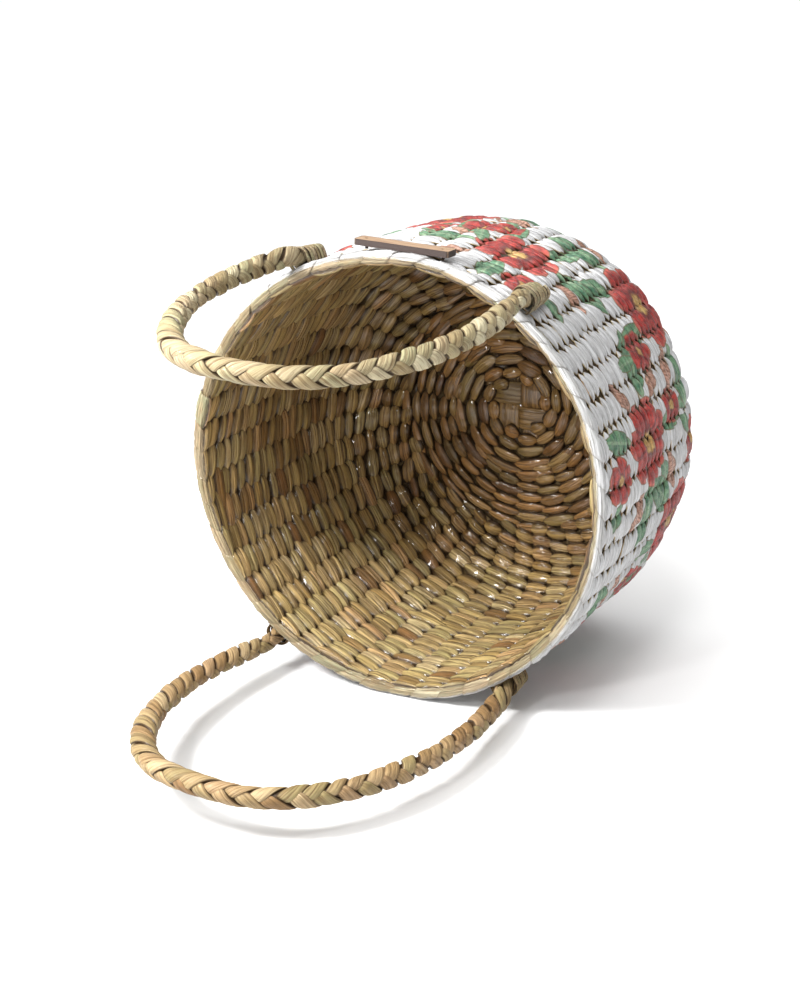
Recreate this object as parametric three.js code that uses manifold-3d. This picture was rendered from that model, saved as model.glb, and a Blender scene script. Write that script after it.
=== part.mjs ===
// Round hamper basket woven from grass, lying on its side with its mouth towards -Y.
// The basket's axis is the Y axis: the mouth is at y = 0 and the flat base at y = DEPTH.
import * as THREE from 'three';
import { mergeVertices } from 'three/addons/utils/BufferGeometryUtils.js';
import Module from 'manifold-3d';

// Driving dimensions, in millimetres and degrees.
// Body of the basket
const RIM_RADIUS = 149; // outside of the rim
const BELLY_RADIUS = 151; // outside of the widest stretch
const BELLY_START = 45; // the widest stretch runs from here to BELLY_END, measured from the rim
const BELLY_END = 125;
const BASE_RADIUS = 100; // where the wall turns into the base
const DEPTH = 213; // rim to the outside of the base
const SHOULDER_POWER = 2.45; // fullness of the curve from belly to base
const SIDES = 24; // flats round the basket, one of them down
const RIM_HEIGHT = 5; // folded border along the mouth
const RIM_CHAMFER = 1.2;

// Weave, counted from the outside: outer passes, stakes, inner passes
const PASS_THICKNESS = 2.8;
const STAKE_THICKNESS = 1.8;
const STAKE_WIDTH = 10;

// Plaited centre of the base
const PLAIT_PITCH = 18; // between the two strands of each direction
const PLAIT_STRAND_WIDTH = 16;
const PLAIT_STRAND_THICKNESS = 2.4;

// Carrying handles, both bent from the same braid
const BRAID_WIDTH = 18;
const BRAID_THICKNESS = 13;
const LOOP_POWER = 2.8; // squareness of the loop
const LOOP_BULGE_RATIO = 0.1; // how far the legs spread, as a part of half the span
const HINGE_OFFSET = 2; // hinge line in front of the mouth
const UPPER_REACH = 200; // from the hinge line to the far end of the loop
const UPPER_HALF_SPAN = 31; // angle from the handle's middle to each of its roots
const UPPER_TURN = 3.8; // the upper handle sits a little off the top, towards +X
const UPPER_RISE_ANGLE = -4.5; // the upper loop droops
const LOWER_REACH = 220;
const LOWER_HALF_SPAN = 33.5;
const LOWER_TURN = 2.2; // the lower handle sits a little off the bottom, towards -X
const LOWER_RISE_ANGLE = 2.5; // the lower loop springs clear of the floor

// Bound ends of the braids and their lashings
const END_LENGTH = 30;
const END_THICKNESS = 9;
const LASHING_STRAND = 2.8; // diameter
const LASHING_PITCH = 3.4;
const LASHING_TURNS = 5.5;
const LASHING_START = 3; // from the front of the bound end

// Wooden name plate behind the rim
const PLATE_LENGTH = 67;
const PLATE_WIDTH = 12.5;
const PLATE_THICKNESS = 4;
const PLATE_CORNER = 1.5;
const PLATE_SETBACK = 2.5; // front edge behind the mouth
const PLATE_TURN = 2.4; // the plate sits a little off the top, towards +X
const PLATE_HOLE_RADIUS = 1.4;
const PLATE_HOLE_INSET = 6.5; // hole centre from the plate's end
const TIE_RADIUS = 1;

// Clearances
const FIT_GAP = 0.3; // between pieces that touch
const LASHING_GAP = 0.5; // lashing strand to the braid that it binds

// Fineness of the curved pieces
const LIP_STEPS = 3;
const SHOULDER_STEPS = 7;
const BRAID_SIDES = 10;
const LOOP_STEPS = 44;
const STRAND_SIDES = 6;
const TURN_STEPS = 24;
const SEAT_STEPS = 40;
const TIE_SIDES = 8;

// Derived sizes
const STAKE_OUTSIDE = PASS_THICKNESS + FIT_GAP;
const STAKE_INSIDE = STAKE_OUTSIDE + STAKE_THICKNESS;
const INNER_OUTSIDE = STAKE_INSIDE + FIT_GAP;
const WALL = INNER_OUTSIDE + PASS_THICKNESS;
const FLAT_ANGLE = (2 * Math.PI) / SIDES;
const LASHING_HALF_WIDTH = BRAID_WIDTH / 2 + LASHING_GAP + LASHING_STRAND / 2; // to the strand's middle
const LASHING_HALF_HEIGHT = END_THICKNESS / 2 + LASHING_GAP + LASHING_STRAND / 2;
const END_FRONT = BRAID_THICKNESS / 2 + FIT_GAP - HINGE_OFFSET; // front of the bound ends, behind the mouth
const LASHING_FRONT = END_FRONT + LASHING_START; // middle of the first pass
const LASHING_BACK = LASHING_FRONT + LASHING_PITCH * LASHING_TURNS; // middle of the last pass
const { degToRad } = THREE.MathUtils;

const wasm = await Module();
wasm.setup();

// A closed geometry as a solid that can be joined to another.
function solidOf(geometry) {
  const bare = geometry.clone();
  bare.deleteAttribute('normal');
  bare.deleteAttribute('uv');
  const merged = mergeVertices(bare, 1e-4);
  const mesh = new wasm.Mesh({
    numProp: 3,
    vertProperties: merged.attributes.position.array,
    triVerts: new Uint32Array(merged.index.array),
  });
  return new wasm.Manifold(mesh);
}

// A joined solid back as a geometry.
function geometryOf(solid) {
  const mesh = solid.getMesh();
  const geometry = new THREE.BufferGeometry();
  geometry.setAttribute('position', new THREE.BufferAttribute(mesh.vertProperties, 3));
  geometry.setIndex(new THREE.BufferAttribute(mesh.triVerts, 1));
  geometry.computeVertexNormals();
  return geometry;
}

function makeMesh(name, geometry, material) {
  const mesh = new THREE.Mesh(geometry, material.clone());
  mesh.name = name;
  return mesh;
}

const paintedGrass = new THREE.MeshStandardMaterial({ color: 0xe9e9e6, roughness: 0.6 });
const bareGrass = new THREE.MeshStandardMaterial({ color: 0xa98a52, roughness: 0.45 });
const braidGrass = new THREE.MeshStandardMaterial({ color: 0xc2a878, roughness: 0.6 });
const plateWood = new THREE.MeshStandardMaterial({ color: 0xd9b98a, roughness: 0.65 });
const tieCord = new THREE.MeshStandardMaterial({ color: 0x4a3a30, roughness: 0.8 });

// Outside radius of the wall at a distance behind the mouth, up to the shoulder.
function lipRadius(y) {
  const rise = Math.min(y / BELLY_START, 1);
  return RIM_RADIUS + (BELLY_RADIUS - RIM_RADIUS) * Math.sin((rise * Math.PI) / 2);
}

// Largest outside radius of the wall between two distances behind the mouth.
function widestBetween(start, end) {
  return Math.max(lipRadius(Math.max(start, 0)), lipRadius(end));
}

// Stations of the outside of the wall from the rim to the base: a point and its outward normal.
function wallStations() {
  const stations = [];
  const front = RIM_HEIGHT + FIT_GAP;
  for (let i = 0; i <= LIP_STEPS; i++) {
    const y = front + ((BELLY_START - front) * i) / LIP_STEPS;
    stations.push({ point: new THREE.Vector2(lipRadius(y), y), normal: new THREE.Vector2(1, 0) });
  }
  const reach = BELLY_RADIUS - BASE_RADIUS;
  const fall = DEPTH - BELLY_END;
  const bend = 2 / SHOULDER_POWER;
  for (let i = 0; i <= SHOULDER_STEPS; i++) {
    const across = Math.cos((i / SHOULDER_STEPS) * (Math.PI / 2));
    const along = Math.sin((i / SHOULDER_STEPS) * (Math.PI / 2));
    const last = i === SHOULDER_STEPS;
    const point = new THREE.Vector2(
      BASE_RADIUS + (last ? 0 : reach * across ** bend),
      BELLY_END + fall * along ** bend,
    );
    const normal = new THREE.Vector2(
      last ? 0 : across ** (2 - bend) / reach,
      along ** (2 - bend) / fall,
    );
    stations.push({ point, normal: normal.normalize() });
  }
  return stations;
}

// Closed outline of a layer of the wall between two depths below its outside.
function layerOutline(outside, inside) {
  const stations = wallStations();
  const at = (station, depth) => station.point.clone().addScaledVector(station.normal, -depth);
  const outer = stations.map((station) => at(station, outside));
  const inner = stations.map((station) => at(station, inside));
  return [...outer, ...inner.reverse()];
}

// Turns a closed outline about the basket's axis, with flats at the outline's own radii.
function turned(outline) {
  const corner = 1 / Math.cos(FLAT_ANGLE / 2);
  const profile = outline.map((p) => new THREE.Vector2(p.x * corner, p.y));
  profile.push(profile[0].clone());
  return new THREE.LatheGeometry(profile, SIDES, FLAT_ANGLE / 2);
}

// Wall
function makeWall() {
  const group = new THREE.Group();
  const outer = turned(layerOutline(0, PASS_THICKNESS));
  const inner = turned(layerOutline(INNER_OUTSIDE, WALL));
  group.add(makeMesh('outer_weave', outer, paintedGrass));
  group.add(makeMesh('inner_weave', inner, bareGrass));
  return group;
}

// Stakes, one under the middle of each flat
function makeStakes() {
  const group = new THREE.Group();
  const shape = new THREE.Shape(layerOutline(STAKE_OUTSIDE, STAKE_INSIDE));
  const strip = new THREE.ExtrudeGeometry(shape, { depth: STAKE_WIDTH, bevelEnabled: false });
  strip.translate(0, 0, -STAKE_WIDTH / 2);
  for (let i = 0; i < SIDES; i++) {
    const stake = makeMesh('stake_' + String(i + 1).padStart(2, '0'), strip, bareGrass);
    stake.rotation.y = i * FLAT_ANGLE;
    group.add(stake);
  }
  return group;
}

// Folded border along the mouth
function makeRim() {
  const inside = RIM_RADIUS - WALL;
  const outline = [
    new THREE.Vector2(RIM_RADIUS - RIM_CHAMFER, 0),
    new THREE.Vector2(RIM_RADIUS, RIM_CHAMFER),
    new THREE.Vector2(RIM_RADIUS, RIM_HEIGHT),
    new THREE.Vector2(inside, RIM_HEIGHT),
    new THREE.Vector2(inside, RIM_CHAMFER),
    new THREE.Vector2(inside + RIM_CHAMFER, 0),
  ];
  return makeMesh('rim_border', turned(outline), paintedGrass);
}

// Woven base with a square opening for its plaited centre
function makeBase() {
  const outline = new THREE.Shape();
  const radius = (BASE_RADIUS - FIT_GAP) / Math.cos(FLAT_ANGLE / 2);
  for (let i = 0; i < SIDES; i++) {
    const angle = (i + 0.5) * FLAT_ANGLE;
    const corner = new THREE.Vector2(radius * Math.cos(angle), radius * Math.sin(angle));
    if (i === 0) outline.moveTo(corner.x, corner.y);
    else outline.lineTo(corner.x, corner.y);
  }
  outline.closePath();
  const half = PLAIT_PITCH;
  const opening = new THREE.Path();
  opening.moveTo(-half, -half);
  opening.lineTo(half, -half);
  opening.lineTo(half, half);
  opening.lineTo(-half, half);
  opening.closePath();
  outline.holes.push(opening);
  const disc = new THREE.ExtrudeGeometry(outline, { depth: WALL, bevelEnabled: false });
  disc.rotateX(-Math.PI / 2);
  const base = makeMesh('base_weave', disc, bareGrass);
  base.position.y = DEPTH - WALL;
  return base;
}

// One strand of the plait: over one cross strand, under the next.
function plaitStrand() {
  const end = PLAIT_PITCH - FIT_GAP;
  const step = (PLAIT_PITCH - PLAIT_STRAND_WIDTH) / 2 - FIT_GAP;
  const level = (PLAIT_STRAND_THICKNESS + FIT_GAP) / 2;
  const half = PLAIT_STRAND_THICKNESS / 2;
  const line = [
    [-end, level],
    [-step, level],
    [step, -level],
    [end, -level],
  ];
  const lower = line.map(([x, y]) => new THREE.Vector2(x, y - half));
  const upper = line.map(([x, y]) => new THREE.Vector2(x, y + half)).reverse();
  const shape = new THREE.Shape([...lower, ...upper]);
  const strand = new THREE.ExtrudeGeometry(shape, { depth: PLAIT_STRAND_WIDTH, bevelEnabled: false });
  return strand.translate(0, 0, (PLAIT_PITCH - PLAIT_STRAND_WIDTH) / 2);
}

// Plaited centre: the same strand four times, a quarter turn apart
function makePlait() {
  const group = new THREE.Group();
  const strand = plaitStrand();
  for (let i = 0; i < 4; i++) {
    const mesh = makeMesh('plait_strand_' + (i + 1), strand, bareGrass);
    mesh.rotation.y = (i * Math.PI) / 2;
    group.add(mesh);
  }
  group.position.y = DEPTH - WALL / 2;
  return group;
}

// Oval section of a braid; its first half-width stands square to the plane of a loop.
function ovalShape(halfThickness, halfWidth) {
  const points = [];
  for (let i = 0; i < BRAID_SIDES; i++) {
    const angle = ((i + 0.5) / BRAID_SIDES) * 2 * Math.PI;
    points.push(new THREE.Vector2(halfThickness * Math.cos(angle), halfWidth * Math.sin(angle)));
  }
  return new THREE.Shape(points);
}

// Middle line of a handle's loop in its own plane: x across, y away from the hinge line.
class LoopCurve extends THREE.Curve {
  constructor(halfSpan, reach) {
    super();
    this.halfSpan = halfSpan;
    this.reach = reach;
  }

  getPoint(t, target = new THREE.Vector3()) {
    const angle = Math.PI * (1 - t);
    const bend = 2 / LOOP_POWER;
    const across = Math.sign(Math.cos(angle)) * Math.abs(Math.cos(angle)) ** bend;
    const away = Math.abs(Math.sin(angle)) ** bend;
    const spread = 1 + LOOP_BULGE_RATIO * Math.sin(Math.PI * Math.min(away, 1));
    return target.set(this.halfSpan * across * spread, this.reach * away, 0);
  }
}

// Handle loop with a rounded knuckle at each root, about the hinge line.
function loopGeometry(halfSpan, reach) {
  const section = ovalShape(BRAID_THICKNESS / 2, BRAID_WIDTH / 2);
  const path = new LoopCurve(halfSpan, reach);
  let solid = solidOf(new THREE.ExtrudeGeometry(section, { steps: LOOP_STEPS, extrudePath: path }));
  for (const side of [-1, 1]) {
    const knuckle = new THREE.SphereGeometry(1, BRAID_SIDES, BRAID_SIDES / 2);
    knuckle.rotateZ(Math.PI / 2);
    knuckle.scale(BRAID_WIDTH / 2, BRAID_THICKNESS / 2, BRAID_THICKNESS / 2);
    knuckle.translate(side * halfSpan, 0, 0);
    solid = solid.add(solidOf(knuckle));
  }
  return geometryOf(solid);
}

// Height above the axis of flats of a radius, in the direction of an angle and some way across it.
function flatHeight(radius, angle, across) {
  let height = Infinity;
  for (let i = 0; i < SIDES; i++) {
    const off = i * FLAT_ANGLE - angle;
    if (Math.cos(off) < Math.SQRT1_2) continue;
    height = Math.min(height, (radius - across * Math.sin(off)) / Math.cos(off));
  }
  return height;
}

// Distance from the axis to the middle of an oval that rests on flats of a radius.
function ovalSeat(radius, angle, halfWidth, halfHeight) {
  let seat = 0;
  for (let i = 0; i <= SEAT_STEPS; i++) {
    const turn = (Math.PI * i) / SEAT_STEPS;
    const height = flatHeight(radius, angle, halfWidth * Math.cos(turn));
    seat = Math.max(seat, height + halfHeight * Math.sin(turn));
  }
  return seat;
}

// Distance from the axis to the underside of a flat strip that rests on flats of a radius.
function stripSeat(radius, angle, from, to) {
  const corner = radius / Math.cos(FLAT_ANGLE / 2);
  let seat = Math.max(flatHeight(radius, angle, from), flatHeight(radius, angle, to));
  for (let i = 0; i < SIDES; i++) {
    const off = (i + 0.5) * FLAT_ANGLE - angle;
    const across = corner * Math.sin(off);
    if (across > from && across < to) seat = Math.max(seat, corner * Math.cos(off));
  }
  return seat;
}

// Outside radius of the wall under the lashings.
function lashedRadius() {
  return widestBetween(LASHING_FRONT - LASHING_STRAND / 2, LASHING_BACK + LASHING_STRAND / 2);
}

// Distance from the axis to the middle of a bound end that clears the wall and whose lashing rests on it.
function boundRadius(angle) {
  const half = LASHING_STRAND / 2;
  const lashed = ovalSeat(lashedRadius(), angle, LASHING_HALF_WIDTH + half, LASHING_HALF_HEIGHT + half);
  const widest = widestBetween(0, END_FRONT + END_LENGTH);
  const bare = ovalSeat(widest, angle, BRAID_WIDTH / 2, END_THICKNESS / 2);
  return Math.max(lashed, bare) + FIT_GAP;
}

// Path of a lashing about a bound end: out of the wall, round the braid, back into the wall.
// x is across the braid, y along it and z away from the wall; the origin is the braid's middle.
class LashingCurve extends THREE.Curve {
  constructor(startDrop, endDrop) {
    super();
    this.startDrop = startDrop;
    this.endDrop = endDrop;
  }

  getPoint(t, target = new THREE.Vector3()) {
    const winding = LASHING_TURNS * 2 * Math.PI;
    const start = this.startDrop / LASHING_HALF_HEIGHT; // straight ends, in radians of the winding
    const end = this.endDrop / LASHING_HALF_HEIGHT;
    const s = t * (start + winding + end) - start;
    const turn = THREE.MathUtils.clamp(s, 0, winding);
    const below = Math.abs(s - turn) * LASHING_HALF_HEIGHT;
    return target.set(
      LASHING_HALF_WIDTH * Math.cos(turn),
      (LASHING_PITCH * turn) / (2 * Math.PI),
      LASHING_HALF_HEIGHT * Math.sin(turn) - below,
    );
  }
}

// Least gap between passes of a wound strand that lie more than half a turn apart.
function leastGap(path) {
  const count = Math.ceil(LASHING_TURNS * TURN_STEPS);
  const points = path.getSpacedPoints(count);
  let least = Infinity;
  for (let i = 0; i < points.length; i++) {
    for (let j = i + TURN_STEPS / 2; j < points.length; j++) {
      least = Math.min(least, points[i].distanceTo(points[j]));
    }
  }
  return least - LASHING_STRAND;
}

function strandShape() {
  const points = [];
  for (let i = 0; i < STRAND_SIDES; i++) {
    const angle = (i / STRAND_SIDES) * 2 * Math.PI;
    points.push(new THREE.Vector2(Math.cos(angle), Math.sin(angle)).multiplyScalar(LASHING_STRAND / 2));
  }
  return new THREE.Shape(points);
}

// Bound end of a braid and the lashing about it, on the wall at an angle from the top
function makeBoundEnd(name, angle, radius) {
  const group = new THREE.Group();
  const section = ovalShape(BRAID_WIDTH / 2, END_THICKNESS / 2);
  const end = new THREE.ExtrudeGeometry(section, { depth: END_LENGTH, bevelEnabled: false });
  end.rotateX(-Math.PI / 2);
  end.translate(0, END_FRONT, 0);
  group.add(makeMesh(name + '_bound_end', end, braidGrass));

  const edgeLift = (LASHING_STRAND / 2) * Math.tan(FLAT_ANGLE); // keeps a strand's edge off a slanting flat
  const seat = (side) => flatHeight(lashedRadius(), angle, side * LASHING_HALF_WIDTH) + edgeLift + FIT_GAP;
  const path = new LashingCurve(radius - seat(1), radius - seat(-1));
  const steps = Math.ceil((LASHING_TURNS + 1 / 2) * TURN_STEPS);
  const lashing = new THREE.ExtrudeGeometry(strandShape(), { steps, extrudePath: path });
  lashing.translate(0, LASHING_FRONT, 0);
  group.add(makeMesh(name + '_lashing', lashing, braidGrass));
  console.log(name + '_lashing: least gap to itself ' + leastGap(path).toFixed(2) + ' mm');

  group.position.set(radius * Math.sin(angle), 0, radius * Math.cos(angle));
  group.rotation.y = angle;
  return group;
}

// A handle with its bound ends; middle is its turn about the axis from the top.
function makeHandle(name, reach, halfSpanAngle, middle, rise) {
  const group = new THREE.Group();
  const half = degToRad(halfSpanAngle);
  const radius = Math.max(boundRadius(middle - half), boundRadius(middle + half));
  const loop = makeMesh(name + '_handle', loopGeometry(radius * Math.sin(half), reach), braidGrass);
  loop.rotation.x = Math.PI - degToRad(rise);
  loop.position.set(0, -HINGE_OFFSET, radius * Math.cos(half));
  const turn = new THREE.Group();
  turn.rotation.y = middle;
  turn.add(loop);
  group.add(turn);
  for (const angle of [middle - half, middle + half]) {
    const side = Math.sin(angle) < 0 ? 'left' : 'right';
    group.add(makeBoundEnd(name + '_' + side, angle, radius));
  }
  return group;
}

// Name plate with a hole near each end, and the ties that go through them into the weave
function makePlate() {
  const group = new THREE.Group();
  const halfLength = PLATE_LENGTH / 2;
  const halfWidth = PLATE_WIDTH / 2;
  const outline = new THREE.Shape();
  outline.moveTo(-halfLength + PLATE_CORNER, -halfWidth);
  outline.lineTo(halfLength - PLATE_CORNER, -halfWidth);
  outline.lineTo(halfLength, -halfWidth + PLATE_CORNER);
  outline.lineTo(halfLength, halfWidth - PLATE_CORNER);
  outline.lineTo(halfLength - PLATE_CORNER, halfWidth);
  outline.lineTo(-halfLength + PLATE_CORNER, halfWidth);
  outline.lineTo(-halfLength, halfWidth - PLATE_CORNER);
  outline.lineTo(-halfLength, -halfWidth + PLATE_CORNER);
  outline.closePath();
  const turn = degToRad(PLATE_TURN);
  const seat = stripSeat(widestBetween(0, PLATE_SETBACK + PLATE_WIDTH), turn, -halfLength, halfLength) + FIT_GAP;
  const middle = PLATE_SETBACK + halfWidth;
  for (const side of [-1, 1]) {
    const along = side * (halfLength - PLATE_HOLE_INSET);
    const hole = new THREE.Path();
    hole.absarc(along, 0, PLATE_HOLE_RADIUS, 0, 2 * Math.PI);
    outline.holes.push(hole);

    const wall = widestBetween(middle - TIE_RADIUS, middle + TIE_RADIUS);
    const bottom = stripSeat(wall, turn, along - TIE_RADIUS, along + TIE_RADIUS) + FIT_GAP;
    const top = seat + PLATE_THICKNESS;
    const tie = new THREE.CylinderGeometry(TIE_RADIUS, TIE_RADIUS, top - bottom, TIE_SIDES);
    tie.rotateX(Math.PI / 2);
    const mesh = makeMesh(side < 0 ? 'plate_tie_left' : 'plate_tie_right', tie, tieCord);
    mesh.position.set(along, middle, (top + bottom) / 2);
    group.add(mesh);
  }
  const slab = new THREE.ExtrudeGeometry(outline, {
    depth: PLATE_THICKNESS,
    bevelEnabled: false,
    curveSegments: TIE_SIDES,
  });
  const plate = makeMesh('name_plate', slab, plateWood);
  plate.position.set(0, middle, seat);
  group.add(plate);
  group.rotation.y = turn;
  return group;
}

// The basket about its own axis, then moved so that the middle of its box stands on the ground
const basket = new THREE.Group();
basket.add(makeWall());
basket.add(makeStakes());
basket.add(makeRim());
basket.add(makeBase());
basket.add(makePlait());
basket.add(makePlate());
const upperMiddle = degToRad(UPPER_TURN);
const lowerMiddle = Math.PI + degToRad(LOWER_TURN);
basket.add(makeHandle('upper', UPPER_REACH, UPPER_HALF_SPAN, upperMiddle, UPPER_RISE_ANGLE));
basket.add(makeHandle('lower', LOWER_REACH, LOWER_HALF_SPAN, lowerMiddle, -LOWER_RISE_ANGLE));

const part = new THREE.Group();
part.add(basket);
const box = new THREE.Box3().setFromObject(basket, true);
const middle = box.getCenter(new THREE.Vector3());
basket.position.set(-middle.x, -middle.y, -box.min.z);

export default part;
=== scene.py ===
import math

import bpy
import numpy as np
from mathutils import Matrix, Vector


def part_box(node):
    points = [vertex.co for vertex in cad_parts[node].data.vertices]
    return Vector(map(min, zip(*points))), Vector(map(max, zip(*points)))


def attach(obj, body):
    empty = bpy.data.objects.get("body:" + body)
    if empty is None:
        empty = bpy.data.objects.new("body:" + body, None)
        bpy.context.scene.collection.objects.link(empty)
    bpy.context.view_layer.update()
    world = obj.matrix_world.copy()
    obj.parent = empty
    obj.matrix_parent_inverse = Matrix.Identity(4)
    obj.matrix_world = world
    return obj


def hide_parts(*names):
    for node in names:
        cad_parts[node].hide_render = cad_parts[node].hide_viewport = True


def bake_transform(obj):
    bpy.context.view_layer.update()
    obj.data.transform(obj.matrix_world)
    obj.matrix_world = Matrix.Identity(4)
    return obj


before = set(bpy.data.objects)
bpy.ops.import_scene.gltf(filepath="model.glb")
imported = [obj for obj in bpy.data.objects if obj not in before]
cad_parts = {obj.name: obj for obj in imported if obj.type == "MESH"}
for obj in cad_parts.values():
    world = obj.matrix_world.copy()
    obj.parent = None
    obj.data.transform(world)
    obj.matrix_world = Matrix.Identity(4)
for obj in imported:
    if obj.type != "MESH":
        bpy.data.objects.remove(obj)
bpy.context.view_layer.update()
print("stage: frame loaded, nodes", len(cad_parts))


# the basket lies on its side on the floor, and its axis runs along +Y from the mouth
rimLow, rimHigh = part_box("rim_border")
mouthY, axisZ = rimLow[1], (rimLow[2] + rimHigh[2]) / 2
basket = {
    "rimRadius": 0.149, "bellyRadius": 0.151, "bellyStart": 0.045, "bellyEnd": 0.125, "baseRadius": 0.1,
    "depth": 0.213, "shoulderPower": 2.45, "wall": 0.008, "pastTurn": 0.01, "leastRadius": 0.012,
}


def addObject(name, data):
    added = bpy.data.objects.new(name, data)
    bpy.context.scene.collection.objects.link(added)
    return added


# camera at the photograph's viewing angle
view = {
    "azimuth": 27.59, "elevation": 17.46, "distance": 1.3, "lens": 72.03, "sensor": 36,
    "shift": (0.0106, -0.0193), "clipEnd": 120,
}


def makeCamera():
    azimuth, elevation = math.radians(view["azimuth"]), math.radians(view["elevation"])
    level = math.cos(elevation)
    back = np.array([math.sin(azimuth) * level, -math.cos(azimuth) * level, math.sin(elevation)])
    target = np.array([0, mouthY, axisZ])
    data = bpy.data.cameras.new("camera")
    data.lens = view["lens"]
    data.sensor_width = view["sensor"]
    data.shift_x, data.shift_y = view["shift"]
    data.clip_end = view["clipEnd"]
    camera = addObject("camera", data)
    camera.location = target + view["distance"] * back
    camera.rotation_euler = (math.pi / 2 - elevation, 0, azimuth)
    bpy.context.scene.camera = camera


makeCamera()
print("stage: camera")


# arrays: a field of tubes has the axes tube, station and point around

def column(values):
    return np.asarray(values)[:, None, None]


def asVectors(*fields):
    return np.stack(np.broadcast_arrays(*fields), axis=-1)


def unit(vectors):
    return vectors / np.linalg.norm(vectors, axis=-1, keepdims=True)


def fullTurn(count):
    return np.linspace(0, 2 * np.pi, count, endpoint=False)


def signedPower(values, power):
    return np.sign(values) * np.abs(values) ** power


def arcLength(path):
    return np.concatenate([[0], np.cumsum(np.linalg.norm(np.diff(path, axis=0), axis=1))])


def sampled(places, arc, vectors):
    # vectors along a curve, read at distances along it
    return np.stack([np.interp(places, arc, values) for values in vectors.T], axis=-1)


def smoothed(vectors, weights):
    reach = len(weights) // 2
    padded = np.pad(vectors, ((reach, reach), (0, 0)), "edge")
    return np.stack([np.convolve(values, weights / weights.sum(), "valid") for values in padded.T], axis=-1)


def outAxis(angle):
    # away from the basket's axis, at an angle from the top
    return np.array([math.sin(angle), 0, math.cos(angle)])


def roundAxis(angle):
    return np.array([math.cos(angle), 0, -math.sin(angle)])


def boxOf(node):
    return (np.array(corner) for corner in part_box(node))


# meshes from whole arrays

def tubeFaces(points):
    # quads of many closed tubes, each a grid of stations by points around, with a flat face over each end
    count, stations, around = points.shape[:3]
    ring = np.arange(around)
    after = (ring + 1) % around
    station = np.arange(stations - 1)[:, None] * around
    quads = np.stack([
        station + ring, station + after, station + around + after, station + around + ring], axis=-1)
    first = column(np.arange(count)) * stations * around
    ends = np.stack([ring[::-1], (stations - 1) * around + ring])
    return (first + quads.reshape(-1, 4)).reshape(-1, 4), (first + ends).reshape(-1, around)


def tubeField(points, strand, wall):
    return points, tubeFaces(points), {"strand": strand, "wall": wall}


def joinFields(fields):
    # several fields of tubes with one number of points around, as one
    points, faces, vectors = zip(*fields)
    flat = lambda arrays: np.concatenate([array.reshape(-1, 3) for array in arrays])
    firsts = np.cumsum([0] + [array[..., 0].size for array in points[:-1]])
    polygonSets = [
        np.concatenate([polygons + first for polygons, first in zip(sets, firsts)]) for sets in zip(*faces)]
    layers = {label: flat([layer[label] for layer in vectors]) for label in ("strand", "wall")}
    return flat(points), polygonSets, layers


def faceVolume(points, polygons):
    # signed volume under a set of polygons of one size, cut into fans of triangles
    total = 0.0
    for corner in range(1, polygons.shape[1] - 1):
        a, b, c = points[polygons[:, 0]], points[polygons[:, corner]], points[polygons[:, corner + 1]]
        total += np.einsum("ij,ij->i", a, np.cross(b, c)).sum()
    return total


def makeMesh(name, points, polygonSets, vectors):
    # one mesh from points, polygon arrays and named vectors per point, facing outwards
    points = points.reshape(-1, 3)
    inward = sum(faceVolume(points, polygons) for polygons in polygonSets) < 0
    polygonSets = [polygons[:, ::-1] if inward else polygons for polygons in polygonSets]
    corners = np.concatenate([polygons.ravel() for polygons in polygonSets]).astype(np.int32)
    sizes = np.concatenate([np.full(len(polygons), polygons.shape[1]) for polygons in polygonSets])
    starts = np.concatenate([[0], np.cumsum(sizes)[:-1]]).astype(np.int32)
    mesh = bpy.data.meshes.new(name)
    mesh.vertices.add(len(points))
    mesh.loops.add(len(corners))
    mesh.polygons.add(len(starts))
    mesh.vertices.foreach_set("co", points.astype(np.float32).ravel())
    mesh.loops.foreach_set("vertex_index", corners)
    mesh.polygons.foreach_set("loop_start", starts)
    mesh.update(calc_edges=True)
    mesh.shade_smooth()
    for label, values in vectors.items():
        layer = mesh.attributes.new(label, "FLOAT_VECTOR", "POINT")
        layer.data.foreach_set("vector", values.reshape(-1, 3).astype(np.float32).ravel())
    return mesh


def makePiece(name, points, polygonSets, vectors, material, slot, replaced=(), body="basket"):
    mesh = makeMesh(name, points, polygonSets, vectors)
    mesh.materials.append(material)
    piece = addObject(name, mesh)
    if replaced:
        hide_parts(*replaced)
    if body:
        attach(piece, body)
    triangles = sum(len(polygons) * (polygons.shape[1] - 2) for polygons in polygonSets)
    print("stage:", name, triangles, "triangles")
    return piece


# shader helpers: a step returns the socket that carries its result

def feed(sockets, values):
    # links or sets sockets by their name or number; a colour is three numbers and opaque
    for key, value in values.items():
        if isinstance(value, bpy.types.NodeSocket):
            value.id_data.links.new(value, sockets[key])
        else:
            isColor = sockets[key].type == "RGBA"
            sockets[key].default_value = (*value, 1) if isColor else value


def addNode(kind, values, **settings):
    # a node in the tree that its first linked value belongs to
    tree = next(value.id_data for value in values.values() if isinstance(value, bpy.types.NodeSocket))
    node = tree.nodes.new("ShaderNode" + kind)
    for label, setting in settings.items():
        setattr(node, label, setting)
    feed(node.inputs, values)
    return node


def mathStep(operation, *values, clamp=False):
    return addNode("Math", dict(enumerate(values)), operation=operation, use_clamp=clamp).outputs[0]


def times(first, second):
    return mathStep("MULTIPLY", first, second)


def plus(first, second):
    return mathStep("ADD", first, second)


def minus(first, second):
    return mathStep("SUBTRACT", first, second)


def varied(value, noise, amount):
    # the value raised and lowered by a noise about its middle
    return plus(value, times(minus(noise, 0.5), amount))


def vectorStep(operation, *values):
    outputs = addNode("VectorMath", dict(enumerate(values)), operation=operation).outputs
    return outputs["Value"] if operation in ("LENGTH", "DOT_PRODUCT") else outputs[0]


def turned(vector, angle):
    return addNode("VectorRotate", {"Vector": vector, "Angle": angle}, rotation_type="Z_AXIS").outputs[0]


def parts(vector):
    return addNode("SeparateXYZ", {0: vector}).outputs


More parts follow.
